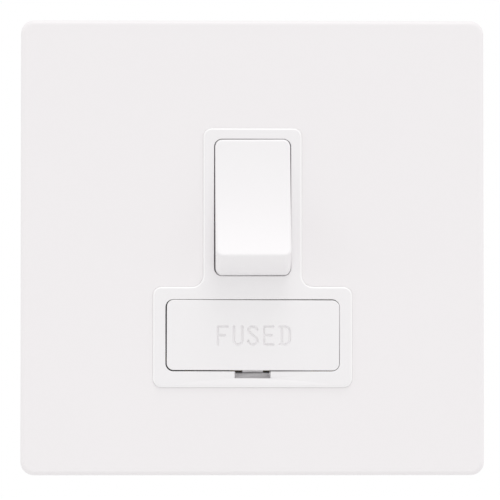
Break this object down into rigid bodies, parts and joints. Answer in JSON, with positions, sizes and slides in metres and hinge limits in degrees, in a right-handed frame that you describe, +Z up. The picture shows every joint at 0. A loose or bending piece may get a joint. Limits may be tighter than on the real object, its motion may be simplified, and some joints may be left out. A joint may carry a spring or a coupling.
{
  "type": "fused spur unit",
  "caption": "Switched fused connection unit: square clip-on wall plate with a rocker switch and a pull-out fuse carrier, wired from behind.",
  "frame": {"origin": "middle of the plate on the wall plane, half way between the two fixing slots", "axes": "+X to the right seen from the front, +Z up, +Y into the wall; the front faces -Y"},
  "size_m": [0.09, 0.0362, 0.0884],
  "materials": {
    "white_cover": "satin moulded or powder-coated white",
    "white_moulding": "satin moulded white",
    "housing_moulding": "matt moulded off-white",
    "zinc_steel": "zinc plated",
    "spring_steel": "drawn wire",
    "brass": "bright stamped brass",
    "silver": "silver contact facing",
    "nickel_cap": "nickel plated brass",
    "ceramic": "fired ceramic",
    "plunger_nylon": "natural nylon"
  },
  "bodies": {
    "base": {"front_insert": "white_moulding", "rear_housing": "housing_moulding", "mounting_plate": "zinc_steel", "case_screws": "zinc_steel", "terminal_screws": "brass", "arm_cradle_live": "brass", "arm_cradle_neutral": "brass", "fixed_contact_live": "brass", "fixed_contact_neutral": "brass", "fixed_tips": "silver", "fuse_clip_supply": "brass", "fuse_clip_load": "brass", "terminal_supply_live": "brass", "terminal_supply_earth": "brass", "terminal_supply_neutral": "brass", "terminal_load_earth": "brass", "terminal_load_live": "brass", "terminal_load_neutral": "brass"},
    "cover": {"cover_plate": "white_cover"},
    "rocker": {"rocker": "white_moulding", "rocker_plungers": "plunger_nylon", "rocker_springs": "spring_steel"},
    "arm_live": {"contact_arm_live": "brass", "contact_tip_live": "silver"},
    "arm_neutral": {"contact_arm_neutral": "brass", "contact_tip_neutral": "silver"},
    "carrier": {"fuse_carrier": "white_moulding", "fuse_barrel": "ceramic", "fuse_end_caps": "nickel_cap"}
  },
  "joints": [
    {"name": "cover_unclip", "type": "slide", "parent": "base", "child": "cover", "axis": [0, -1, 0], "range_m": [0, 0.025]},
    {"name": "rocker_tilt", "type": "hinge", "parent": "base", "child": "rocker", "pos_m": [0, -0.0016, 0.00776], "axis": [1, 0, 0], "range_deg": [0, 27]},
    {"name": "arm_live_tilt", "type": "hinge", "parent": "base", "child": "arm_live", "pos_m": [-0.0037, 0.00965, 0.00776], "axis": [1, 0, 0], "range_deg": [-18, 0]},
    {"name": "arm_neutral_tilt", "type": "hinge", "parent": "base", "child": "arm_neutral", "pos_m": [0.0037, 0.00965, 0.00776], "axis": [1, 0, 0], "range_deg": [-18, 0]},
    {"name": "carrier_pull", "type": "slide", "parent": "base", "child": "carrier", "axis": [0, -1, 0], "range_m": [0, 0.02]}
  ],
  "couplings": [
    {"joint": "arm_live_tilt", "follows": "rocker_tilt", "ratio": -0.66667},
    {"joint": "arm_neutral_tilt", "follows": "rocker_tilt", "ratio": -0.66667}
  ]
}
